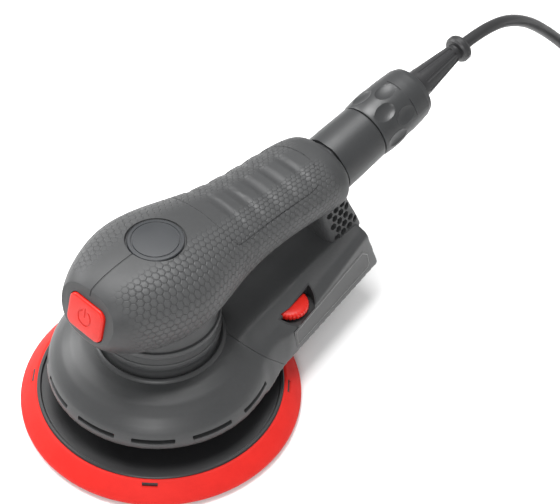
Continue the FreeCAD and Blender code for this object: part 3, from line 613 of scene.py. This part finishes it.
def strut_form(name):
    clear()
    bpy.ops.mesh.primitive_plane_add(size=1.0, location=(0, 0, 0))
    piece = named(name)
    bpy.ops.object.mode_set(mode="EDIT")
    bpy.ops.mesh.select_all(action="SELECT")
    size, place = [1.0, 1.0], Vector((0, 0, 0))
    for i, (height, front, rear, half) in enumerate(STRUT_STATIONS):
        width, depth = 2 * half * MM, (rear - front) * MM
        spot = at(0, (front + rear) / 2, height)
        if i == 0:
            bpy.ops.transform.translate(value=spot - place)
        else:
            bpy.ops.mesh.extrude_region_move(TRANSFORM_OT_translate={"value": spot - place})
        bpy.ops.transform.resize(value=(width / size[0], depth / size[1], 1.0), center_override=spot)
        size, place = [width, depth], spot
    pick(piece, lambda p, e: abs((e.verts[0].co - e.verts[1].co).normalized().z) > 0.8, "EDGE")
    bpy.ops.mesh.bevel(offset=STRUT_CORNER * MM, segments=5)
    done()
    return outward(piece)


BUTTON_LEAN = math.radians(14.2)


def button_frame(x, up_mm, out_mm):
    """A point on the power button's leaning face: across, up the face, out of it."""
    lean = BUTTON_LEAN
    return at(x, -47.8 - math.cos(lean) * out_mm + math.sin(lean) * up_mm,
              99.5 + math.sin(lean) * out_mm + math.cos(lean) * up_mm)


def button_block(name, width, height, corner, inner, outer, segments=6):
    """A round-cornered block square to the button's face, between two distances out of it."""
    clear()
    bpy.ops.mesh.primitive_cube_add(size=1.0, location=(0, 0, 0))
    piece = named(name)
    piece.scale = (width * MM, height * MM, (outer - inner) * MM)
    apply_place(piece)
    edit(piece)
    pick(piece, lambda p, e: abs((e.verts[0].co - e.verts[1].co).normalized().z) > 0.9, "EDGE")
    bpy.ops.mesh.bevel(offset=corner * MM, segments=segments)
    done()
    piece.rotation_euler = (math.radians(90.0) - BUTTON_LEAN, 0, 0)
    piece.location = button_frame(0, 0, (inner + outer) / 2)
    return apply_place(piece)


def surface_line(piece, points, radius_mm):
    """A groove: a thin tube laid on the piece's surface along a line, and cut out of it."""
    data = bpy.data.curves.new("line", "CURVE")
    data.dimensions = "3D"
    spline = data.splines.new("NURBS")
    spline.points.add(len(points) - 1)
    for p, q in zip(spline.points, points):
        p.co = (*q, 1.0)
    spline.order_u = 3
    spline.use_endpoint_u = True
    data.resolution_u = 10
    line = bpy.data.objects.new("line", data)
    scene.collection.objects.link(line)
    only(line)
    bpy.ops.object.convert(target="MESH")
    line = bpy.context.object
    wrap = line.modifiers.new("wrap", "SHRINKWRAP")
    wrap.target = piece
    wrap.wrap_method = "NEAREST_SURFACEPOINT"
    bpy.ops.object.modifier_apply(modifier=wrap.name)
    bpy.ops.object.convert(target="CURVE")
    line = bpy.context.object
    line.data.bevel_depth = radius_mm * MM
    line.data.bevel_resolution = 2
    line.data.use_fill_caps = True
    bpy.ops.object.convert(target="MESH")
    line = bpy.context.object
    return combine(piece, line)


def make_grip():
    shell = loft_along_handle("palm_grip", GRIP_STATIONS)
    combine(shell, strut_form("strut"), "UNION")
    # shallow waves across the palm rest
    modifier(shell, "REMESH", mode="VOXEL", voxel_size=0.95 * MM, adaptivity=0.0)
    modifier(shell, "SMOOTH", factor=0.5, iterations=5)
    edit(shell)
    for y in PALM_WAVES:
        low, high = at(0, y - 3.2, 0).y, at(0, y + 3.2, 0).y
        middle = (low + high) / 2
        top = at(0, 0, 97.0).z
        for reach, drop in ((3.0, 0.22), (2.2, 0.24), (1.3, 0.24)):
            pick(shell, lambda p, n: abs(p.y - middle) < reach * MM and p.z > top and n.z > 0.25)
            bpy.ops.transform.translate(value=(0, 0, -drop * MM))
    done()
    modifier(shell, "SMOOTH", factor=0.5, iterations=2)
    # flat front with a pocket for the button
    combine(shell, button_block("front_cut", 90.0, 90.0, 2.0, -1.0, 30.0))
    combine(shell, button_block("pocket", 25.4, 20.0, 4.8, -9.0, 6.0))
    # round recess for the badge
    combine(shell, turned("badge_cut", [(0, 117.9), (15.0, 117.9), (15.5, 118.4), (15.5, 126), (0, 126)], 96))
    # parting line, and the edge of the palm panel with its rear return
    for line in PARTING, PANEL_FRONT:
        surface_line(shell, [at(*p) for p in line], 0.42)
    for side in (1, -1):
        surface_line(shell, [at(x * side, y, z) for x, y, z in PANEL_SIDE], 0.5)
    # inside: room for the motor and the neck, and the open foot of the strut
    motor_room = [(0, 60), (31.1, 60), (31.1, 84), (29.0, 84.5), (29.0, 112), (0, 112)]
    combine(shell, turned("motor_room", motor_room, 96))
    combine(shell, block("strut_room", -16, 16, 105.5, 119, 50, 88))
    for vent in vent_cutters():
        combine(shell, vent)
    return shell


def vent_cutters():
    """Hexagonal prisms through both cheeks of the strut, in slanting rows."""
    cutters = []
    for row, first, last in VENT_ROWS:
        for i in range(first, last + 1):
            y = VENT_Y + VENT_STEP * (row * math.cos(VENT_SLANT) + i * math.cos(VENT_SLANT - math.pi / 3))
            z = VENT_Z + VENT_STEP * (row * math.sin(VENT_SLANT) + i * math.sin(VENT_SLANT - math.pi / 3))
            clear()
            corner = VENT_ACROSS / math.sqrt(3.0) * MM
            bpy.ops.mesh.primitive_cylinder_add(vertices=6, radius=corner, depth=60 * MM)
            cutter = named("vent")
            turn_by = math.radians(30.0) - VENT_SLANT
            bpy.ops.transform.rotate(value=turn_by, orient_axis="Z", center_override=(0, 0, 0))
            apply_place(cutter)
            cutters.append(stand(cutter, at(0, y, z), Vector((1, 0, 0))))
    return cutters


VENT_Y, VENT_Z, VENT_STEP, VENT_ACROSS, VENT_SLANT = 113.2, 68.0, 5.0, 3.8, math.radians(13.0)
VENT_ROWS = [(2, -2, -1), (1, -2, 2), (0, -2, 2), (-1, 0, 2), (-2, 2, 2)]      # row, first hole, last hole
PALM_WAVES = [44.0, 56.5, 69.0, 81.5, 94.0]
PARTING = [(0, -46.5, 112.5), (0, -40, 117), (0, -30, 119.5), (0, -22, 120.5), (0, -15.2, 121)]
PANEL_FRONT = [
    (-24.6, 34, 108.8), (-22.6, 32, 111), (-16.8, 31, 114.2), (-7.4, 31, 116), (0, 31.5, 116.3),
    (7.4, 31, 116), (16.8, 31, 114.2), (22.6, 32, 111), (24.6, 34, 108.8),
]
PANEL_SIDE = [
    (24.6, 33.5, 108.8), (23.7, 41.5, 106.9), (21.9, 52, 105.5), (20.8, 70, 104.3), (20.7, 85, 103.4),
    (20.4, 94.5, 103.2), (18.7, 99.5, 104.3), (14.2, 103, 106.1), (6, 105, 107.6), (0, 105.4, 108),
]


grip_shell = make_grip()
shade(grip_shell, 40)
settle(grip_shell, "housing", grip, "grip", "upper_housing_left", "upper_housing_right")

# ------------------------------------------------------------------ shroud bell and dust duct
DUCT_FLOOR, REAR_END, REAR_LEAN = 27.0, 135.5, 0.3057
SIDE_LEAN, SIDE_CLOSE = 0.14, 0.177


def side_x(y, z):
    return 48.05 - SIDE_CLOSE * (y - 50.0) - SIDE_LEAN * (z - DUCT_FLOOR)


# distance along the duct, bottom half width, crease, shoulder, ridge, roof height
DUCT_STATIONS = [
    (12.0, 56.0, (50.6, 38.6), (45.0, 43.6), (33.0, 47.6), 48.6),
    (25.0, 55.9, (49.0, 41.0), (44.0, 44.6), (33.0, 48.9), 49.9),
    (32.0, 53.6, (45.6, 41.8), (41.4, 45.0), (31.0, 49.9), 51.1),
    (40.0, 50.4, (43.6, 43.0), (40.2, 46.0), (30.0, 50.7), 51.8),
    (47.0, 48.6, (43.2, 43.4), (39.8, 46.6), (29.2, 51.2), 52.3),
    (54.0, side_x(54, 27), (side_x(54, 43.5), 43.5), (39.2, 47.1), (28.4, 51.7), 52.9),
    (65.0, side_x(65, 27), (side_x(65, 44.2), 44.2), (37.6, 47.9), (27.2, 52.5), 53.8),
    (90.0, side_x(90, 27), (side_x(90, 47.8), 47.8), (33.6, 51.4), (24.6, 54.9), 55.8),
    (115.0, side_x(115, 27), (side_x(115, 51.8), 51.8), (29.8, 55.0), (23.0, 57.4), 58.2),
    (142.0, side_x(142, 27), (side_x(142, 55.6), 55.6), (25.4, 58.4), (21.4, 60.0), 60.9),
]


def duct_form(name):
    """Half the duct's section drawn as a ring of points, extruded from station to station, then mirrored."""
    clear()
    bpy.ops.mesh.primitive_circle_add(vertices=7, radius=1.0, fill_type="NGON", location=(0, 0, 0))
    piece = named(name)
    bpy.ops.object.mode_set(mode="EDIT")
    before = None
    for y, low, crease, shoulder, ridge, roof in DUCT_STATIONS:
        crown = (ridge[0] * 0.5, (ridge[1] + roof) / 2 + 0.3)
        section = [(0, DUCT_FLOOR), (low, DUCT_FLOOR), crease, shoulder, ridge, crown, (0, roof)]
        places = [at(x, y, z) for x, z in section]
        if before is None:
            bm = bmesh.from_edit_mesh(piece.data)
            before = [v.co.copy() for v in bm.verts]
        else:
            bpy.ops.mesh.select_all(action="DESELECT")
            pick(piece, lambda p, n: any((p - q).length < 1e-6 for q in before))
            bpy.ops.mesh.extrude_region_move(TRANSFORM_OT_translate={"value": (0, 0.001, 0)})
            before = [q + Vector((0, 0.001, 0)) for q in before]
        for old, new in zip(before, places):
            pick(piece, lambda p, n: (p - old).length < 1e-6)
            bpy.ops.transform.translate(value=new - old)
        before = places
    middle = at(0, 0, 0).x
    pick(piece, lambda p, n: abs(p.x - middle) < 1e-6 and abs(n.x) > 0.99, "FACE")
    bpy.ops.mesh.delete(type="FACE")
    done()
    outward(piece)
    modifier(piece, "MIRROR", use_axis=(True, False, False), mirror_object=mirror_plane, merge_threshold=1e-6)
    return outward(piece)


bpy.ops.object.empty_add(location=at(0, 0, 0))
mirror_plane = bpy.context.object


def slanted_block(name, y_at_zero, slope, height=120.0):
    """Everything behind a plane across the duct; its slope is millimetres of Y per millimetre of Z."""
    piece = block(name, -120, 120, y_at_zero, y_at_zero + 400, 0, height)
    edit(piece)
    top = at(0, 0, height).z
    pick(piece, lambda p, n: abs(p.z - top) < 1e-6)
    bpy.ops.transform.translate(value=(0, slope * height * MM, 0))
    done()
    return piece


BELL_OUTSIDE = [
    (0, 27.6), (57.0, 27.6), (59.8, 27.9), (59.75, 29.9), (59.2, 33.0), (57.6, 37.0), (55.4, 40.0),
    (51.5, 43.6), (46.0, 46.9), (40.0, 49.2), (34.2, 50.2), (30.0, 51.0), (0, 51.0),
]
BELL_HOLLOW = [
    (0, 20), (56.8, 20), (56.8, 29.9), (56.6, 31.5), (55.3, 34.8), (53.4, 38.0), (50.0, 41.2),
    (45.0, 44.2), (39.4, 46.4), (33.0, 47.4), (28.6, 50.4), (28.6, 90), (0, 90),
]
NECK = [
    (28.6, 48.0), (34.9, 48.0), (35.0, 49.9), (34.6, 50.9), (33.8, 51.6), (33.0, 51.8), (32.3, 51.4),
    (31.6, 50.6), (31.3, 51.6), (31.3, 56.6), (31.7, 57.3), (32.2, 57.5), (32.3, 58.0), (32.3, 60.6),
    (32.2, 61.1), (31.7, 61.4), (31.6, 65.2), (32.2, 65.5), (32.3, 66.0), (32.3, 68.8), (31.9, 69.4),
    (30.9, 69.6), (30.9, 83.8), (28.6, 83.8),
]
SEAM_SLOPE, SEAM_LEVEL, SEAM_GAP = 1.1, 77.2, 0.12
SLOT_FIRST, SLOT_STEP = math.radians(-169.6), math.radians(30.7)
SLOT_MIDDLE, SLOT_SIZE, SLOT_COUNT, SLOT_HEIGHT = (0.057, 0, 0), (0.016, 0.0224, 0.0025), 7, 33.25


def make_body():
    body = turned("bell", BELL_OUTSIDE, 144)
    combine(body, duct_form("duct"), "UNION")
    combine(body, slanted_block("rear_cut", REAR_END + REAR_LEAN * DUCT_FLOOR, -REAR_LEAN))
    modifier(body, "REMESH", mode="VOXEL", voxel_size=0.9 * MM, adaptivity=0.0)
    modifier(body, "SMOOTH", factor=0.5, iterations=8)
    edit(body)
    near, far, wide = at(0, 10, 0).y, at(0, 62, 0).y, 36 * MM
    pick(body, lambda p, n: near < p.y < far and abs(p.x - at(0, 0, 0).x) > wide and p.z > at(0, 0, 29).z)
    bpy.ops.mesh.vertices_smooth(factor=0.5, repeat=24)
    done()
    combine(body, turned("bell_hollow", BELL_HOLLOW, 96))
    return body


def seam_block(gap):
    return slanted_block("seam", (SEAM_LEVEL / SEAM_SLOPE) + gap, -1.0 / SEAM_SLOPE, 70.0)


def copy_of(piece, name):
    only(piece)
    bpy.ops.object.duplicate()
    return named(name)


PLATE = [
    (55.6, 30.8), (125.5, 30.8), (127.6, 34.0), (126.4, 42.0), (121.0, 46.8), (89.6, 44.8),
    (71.0, 43.7), (54.6, 42.6),
]
PLATE_LINE = [
    (57.2, 32.2), (124.8, 32.2), (126.2, 34.4), (125.1, 41.3), (120.5, 45.3), (89.7, 43.4),
    (71.1, 42.3), (56.4, 41.3),
]


def side_panel(name, corners, inner, outer):
    """A flat panel on the duct's side face, between two distances out of it."""
    clear()
    bpy.ops.mesh.primitive_circle_add(vertices=len(corners), radius=1.0, fill_type="NGON", location=(0, 0, 0))
    piece = named(name)
    bpy.ops.object.mode_set(mode="EDIT")
    out = Vector((1.0, SIDE_CLOSE, SIDE_LEAN)).normalized() * MM
    places = [at(side_x(y, z), y, z) + out * inner for y, z in corners]
    starts = [v.co.copy() for v in bmesh.from_edit_mesh(piece.data).verts]
    for old, new in zip(starts, places):
        pick(piece, lambda p, n: (p - old).length < 1e-6)
        bpy.ops.transform.translate(value=new - old)
    bpy.ops.mesh.select_all(action="SELECT")
    bpy.ops.mesh.extrude_region_move(TRANSFORM_OT_translate={"value": out * (outer - inner)})
    done()
    return outward(piece)


shroud = make_body()
duct = copy_of(shroud, "dust_duct_cover")
bpy.data.objects.remove(mirror_plane)
combine(shroud, seam_block(-SEAM_GAP))
combine(shroud, turned("neck", NECK, 144), "UNION")
for i in range(SLOT_COUNT):
    angle = SLOT_FIRST + SLOT_STEP * i
    clear()
    bpy.ops.mesh.primitive_cube_add(size=1.0, location=SLOT_MIDDLE, scale=SLOT_SIZE)
    slot_cut = apply_place(named("slot"))
    edit(slot_cut)
    pick(slot_cut, lambda p, e: abs((e.verts[0].co - e.verts[1].co).normalized().x) > 0.9, "EDGE")
    bpy.ops.mesh.bevel(offset=0.7 * MM, segments=3)
    bpy.ops.mesh.select_all(action="SELECT")
    bpy.ops.transform.rotate(value=-angle, orient_axis="Z", center_override=(0, 0, 0))
    bpy.ops.transform.translate(value=at(0, 0, SLOT_HEIGHT))
    done()
    combine(shroud, slot_cut)
shade(shroud, 40)
settle(shroud, "housing", shell_grey, "shell", "motor_shroud", "shroud_edge_ring")

combine(duct, seam_block(SEAM_GAP), "INTERSECT")
combine(duct, turned("neck_room", [(0, 49), (33.5, 49), (33.5, 90), (0, 90)], 96))
hose_room = [(0, 0), (13.5, 0), (13.5, 70), (0, 70)]
combine(duct, turned("hose_room", hose_room, 64, at(0, 104, 43.2), Vector((0, 1, 0))))
combine(duct, block("dust_room", -24, 16, 30, 104.2, 30, 46))
DIAL_X, DIAL_Y = 31.0, 65.0
RECESS = [(0, 42.6), (13.6, 42.6), (14.6, 43.6), (14.6, 60), (0, 60)]
recess = turned("recess", RECESS, 96, at(DIAL_X, DIAL_Y, 0))
edit(recess)
bpy.ops.mesh.select_all(action="SELECT")
bpy.ops.mesh.bisect(plane_co=at(34.0, DIAL_Y, 0), plane_no=(1.0, SIDE_CLOSE, 0.0),
                    clear_inner=True, use_fill=True)
done()
combine(duct, recess)
combine(duct, side_panel("plate_room", PLATE, -0.8, 5.0))
WHEEL_ROOM = [(0, 43.0), (11.3, 43.0), (11.3, 49.0), (0, 49.0)]
combine(duct, turned("wheel_room", WHEEL_ROOM, 96, at(DIAL_X, DIAL_Y, 0)))
shade(duct, 40)
settle(duct, "housing", shell_grey, "shell", "dust_duct")

# the side panel's raised border line
out_of_side = Vector((1.0, SIDE_CLOSE, SIDE_LEAN)).normalized() * MM
line_data = bpy.data.curves.new("panel_line", "CURVE")
line_data.dimensions = "3D"
spline = line_data.splines.new("POLY")
spline.points.add(len(PLATE_LINE) - 1)
for p, (y, z) in zip(spline.points, PLATE_LINE):
    p.co = (*(at(side_x(y, z), y, z) + out_of_side * 0.10), 1.0)
spline.use_cyclic_u = True
line_data.bevel_depth = 0.17 * MM
line_data.bevel_resolution = 2
panel_line = bpy.data.objects.new("panel_line", line_data)
scene.collection.objects.link(panel_line)
only(panel_line)
bpy.ops.object.convert(target="MESH")
panel_line = bpy.context.object
shade(panel_line, 40)
settle(panel_line, "housing", line_grey, "label")

# ------------------------------------------------------------------ power button
button = button_block("power_button_face", 24.4, 19.0, 4.3, -4.0, 0.5)
edit(button)
button_out = Vector((0, -math.cos(BUTTON_LEAN), math.sin(BUTTON_LEAN)))
pick(button, lambda p, n: n.dot(button_out) > 0.98, "FACE")
bpy.ops.mesh.bevel(offset=1.1 * MM, segments=4)
done()
clear()
bpy.ops.mesh.primitive_torus_add(major_radius=4.3 * MM, minor_radius=0.42 * MM,
                                 major_segments=48, minor_segments=10)
symbol = named("symbol")
gate = block("gate", -1.7, 1.7, 0, 8, -3, 3)
edit(gate)
bpy.ops.mesh.select_all(action="SELECT")
bpy.ops.transform.translate(value=-at(0, 0, 0))
done()
combine(symbol, gate)
button_across = button_frame(1, 0, 0) - button_frame(0, 0, 0)
button_up = button_frame(0, 1, 0) - button_frame(0, 0, 0)
stand_frame = (button_across, button_up, button_out)
spin = Matrix([v.normalized() for v in stand_frame]).transposed().to_4x4()
symbol.matrix_world = Matrix.Translation(button_frame(0, 0, 0.5)) @ spin
apply_place(symbol)
combine(button, symbol)
BAR = [(0, 0.6), (0.3, 0.5), (0.42, 0), (0.42, -4.4), (0.3, -4.9), (0, -5.0)]
bar = turned("bar", BAR, 16, button_frame(0, 5.2, 0.5), button_up)
combine(button, bar)
shade(button, 30)
settle(button, "power_button", signal_red, "red", "power_button")

# ------------------------------------------------------------------ badge: a plain disc with one ring
BADGE = [
    (0, 117.0), (14.2, 117.0), (14.4, 117.3), (14.4, 118.9), (14.0, 119.3), (12.6, 119.35), (12.4, 119.0),
    (11.8, 119.0), (11.6, 119.4), (8.0, 119.55), (4.0, 119.6), (0, 119.62),
]
badge = turned("badge_disc", BADGE, 96)
shade(badge, 30)
settle(badge, "housing", badge_grey, "shell", "badge_cap")

# ------------------------------------------------------------------ speed dial: thumbwheel with cut grips
WHEEL = [
    (1.6, 44.2), (9.6, 44.2), (10.2, 44.5), (10.5, 45.1), (10.5, 46.6), (10.25, 47.3), (9.6, 47.8),
    (8.4, 48.1), (6.0, 48.3), (1.6, 48.3),
]
wheel = turned("thumbwheel", WHEEL, 120, at(DIAL_X, DIAL_Y, 0))
wheel_middle = at(DIAL_X, DIAL_Y, 0)
edit(wheel)
pick(wheel, lambda p, n: (p.xy - wheel_middle.xy).length > 9.4 * MM
     and round(math.atan2(p.y - wheel_middle.y, p.x - wheel_middle.x) / math.radians(3.0)) % 4 == 0)
bpy.ops.transform.resize(value=(0.95, 0.95, 1.0), center_override=wheel_middle)
done()
shade(wheel, 30)
settle(wheel, "speed_dial", signal_red, "red", "speed_dial")

# ------------------------------------------------------------------ twist-lock collar with thumb dimples
def along_inlet(s):
    return INLET + INLET_AXIS * s * MM


COLLAR = [
    (12.64, 30.4), (15.8, 30.4), (16.3, 30.7), (16.7, 31.6), (17.3, 37), (17.5, 44), (17.2, 51), (16.8, 55.6),
    (16.4, 56.0), (12.64, 56.0),
]
DIMPLE_DEPTH, DIMPLE_WIDTH, DIMPLE_LENGTH = 2.6 * MM, 5.9 * MM, 7.6 * MM
collar = turned("twist_collar", COLLAR, 144, INLET, INLET_AXIS)
around = INLET_AXIS.cross(Vector((1, 0, 0)))
for i in range(6):
    for turn_by, s in ((0.0, 38.6), (30.0, 49.2)):
        angle = math.radians(60.0 * i + turn_by)
        out = Vector((1, 0, 0)) * math.cos(angle) + around * math.sin(angle)
        clear()
        bpy.ops.mesh.primitive_uv_sphere_add(segments=32, ring_count=20, radius=1.0)
        dimple = named("dimple")
        side = INLET_AXIS.cross(out)
        dimple.matrix_world = Matrix.Translation(along_inlet(s) + out * 18.3 * MM) @ (
            Matrix((out, side, INLET_AXIS)).transposed().to_4x4()) @ (
            Matrix.Diagonal((DIMPLE_DEPTH, DIMPLE_WIDTH, DIMPLE_LENGTH, 1.0)))
        combine(collar, apply_place(dimple))
shade(collar, 35)
settle(collar, "lock_collar", connector_grey, "shell", "lock_collar")

# ------------------------------------------------------------------ pad: foam and hook face
FOAM = [
    (0, 1.2), (73.2, 1.2), (74.2, 1.5), (74.8, 2.3), (75.0, 3.2), (75.0, 4.4), (74.7, 5.2),
    (71.0, 8.8), (67.6, 12.0), (67.0, 12.4), (66.2, 12.5), (65.7, 12.4), (65.7, 9.0), (0, 9.0),
]
DUST_CIRCLE, DUST_HOLE = 40.0, 5.0
HOOK = [(0, 0.0), (73.0, 0.0), (73.3, 0.25), (73.4, 0.6), (73.4, 1.2), (0, 1.2)]


def dust_holes(piece):
    """Eight holes on a circle, right through the pad."""
    for k in range(8):
        angle = math.radians(22.5 + 45.0 * k)
        middle = Vector((math.cos(angle), math.sin(angle), 0)) * DUST_CIRCLE * MM
        hole = turned("hole", [(0, -2), (DUST_HOLE, -2), (DUST_HOLE, 14), (0, 14)], 32, middle)
        combine(piece, hole)
    return piece


foam_pad = dust_holes(turned("foam_pad", FOAM, 192, Vector()))
NOTCH_MIDDLE, NOTCH_SIZE = (0.067, 0, 0.01105), (0.006, 0.008, 0.0017)
for angle in (-48.0, 42.0, 132.0, -138.0):
    clear()
    bpy.ops.mesh.primitive_cube_add(size=1.0, location=NOTCH_MIDDLE, scale=NOTCH_SIZE)
    notch = apply_place(named("notch"))
    edit(notch)
    bpy.ops.mesh.select_all(action="SELECT")
    bpy.ops.transform.rotate(value=-math.radians(angle), orient_axis="Z", center_override=(0, 0, 0))
    done()
    combine(foam_pad, notch)
shade(foam_pad, 40)
settle(foam_pad, "pad", foam, "foam", "pad_foam")
hook_disc = dust_holes(turned("hook_disc", HOOK, 192, Vector()))
shade(hook_disc, 40)
settle(hook_disc, "pad", pile, "hook", "hook_face")

# ------------------------------------------------------------------ stage
scene.view_settings.view_transform = "Standard"
scene.view_settings.look = "None"
clear()
bpy.ops.mesh.primitive_plane_add(size=8.0, location=(0, 0, -0.0002))
floor = named("floor")
coat_with(floor, material("floor_white", (0.92, 0.92, 0.92), 0.6, specular=0.2))

world = bpy.data.worlds.new("studio")
scene.world = world
world.use_nodes = True
world.node_tree.nodes["Background"].inputs["Color"].default_value = (1.0, 1.0, 1.0, 1.0)
world.node_tree.nodes["Background"].inputs["Strength"].default_value = 0.62


def soft_light(name, place, target, size, power, size_y=None):
    data = bpy.data.lights.new(name, "AREA")
    data.shape = "RECTANGLE"
    data.size = size
    data.size_y = size_y or size
    data.energy = power
    lamp = bpy.data.objects.new(name, data)
    scene.collection.objects.link(lamp)
    lamp.location = place
    lamp.rotation_euler = (Vector(target) - Vector(place)).to_track_quat("-Z", "Y").to_euler()
    return lamp


soft_light("overhead", (-0.25, 0.1, 1.2), (0, 0.06, 0.05), 0.7, 20.0)
soft_light("front_fill", (0.7, -0.9, 0.8), (0, 0.05, 0.06), 0.5, 7.0)
soft_light("left_rim", (-1.1, -0.2, 0.7), (0, 0.05, 0.07), 0.5, 9.0)
